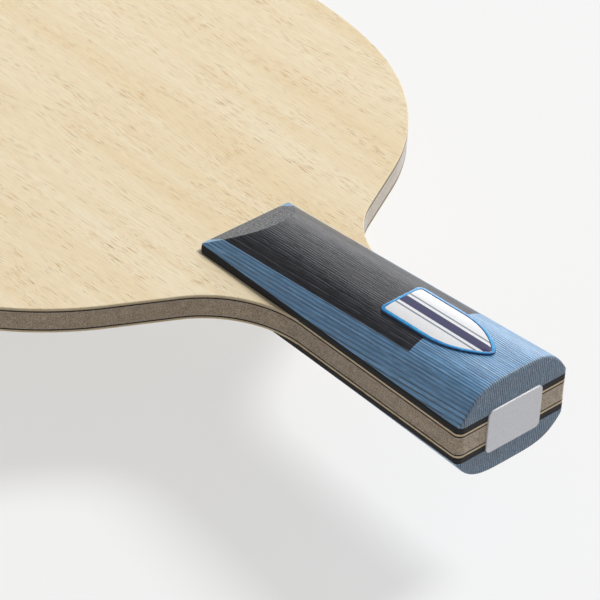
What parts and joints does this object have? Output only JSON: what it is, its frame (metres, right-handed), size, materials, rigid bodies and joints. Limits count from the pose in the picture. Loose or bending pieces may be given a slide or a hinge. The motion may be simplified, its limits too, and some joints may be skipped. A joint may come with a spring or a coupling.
{
  "type": "table tennis blade",
  "caption": "Penhold table tennis blade of bare laminated wood with woven fibre plies and a short rounded grip in dyed wood on each side.",
  "frame": {"origin": "middle of the front hitting face, where the head is widest", "axes": "+Z out of the front face, +Y along the blade from the handle towards the tip, X across the head"},
  "size_m": [0.15, 0.2297, 0.0223],
  "materials": {
    "face_wood": "bare sanded veneer with fine open pores along the handle, thin clear seal",
    "fibre_weave": "dark woven fibre set in resin, seen only as a line on the edge",
    "inner_wood": "sanded veneer edge",
    "core_wood": "sanded soft wood edge, open grain",
    "liner_veneer": "black dyed veneer, satin",
    "grip_wood": "blue dyed laminated wood with fine straight dark lines, satin lacquer",
    "insert_wood": "charcoal dyed laminated wood with fine straight lines, satin lacquer",
    "emblem_rim": "bright blue, glossy",
    "emblem_field": "white under a clear coat, glossy",
    "plate_metal": "fine satin"
  },
  "bodies": {
    "root": {"face_ply_front": "face_wood", "fibre_ply_front": "fibre_weave", "inner_ply_front": "inner_wood", "core_ply": "core_wood", "inner_ply_back": "inner_wood", "fibre_ply_back": "fibre_weave", "face_ply_back": "face_wood", "grip_liner_front": "liner_veneer", "grip_block_front": "grip_wood", "grip_insert_front": "insert_wood", "grip_liner_back": "liner_veneer", "grip_block_back": "grip_wood", "grip_insert_back": "insert_wood", "emblem_rim": "emblem_rim", "emblem_field": "emblem_field", "butt_plate": "plate_metal"}
  },
  "joints": []
}
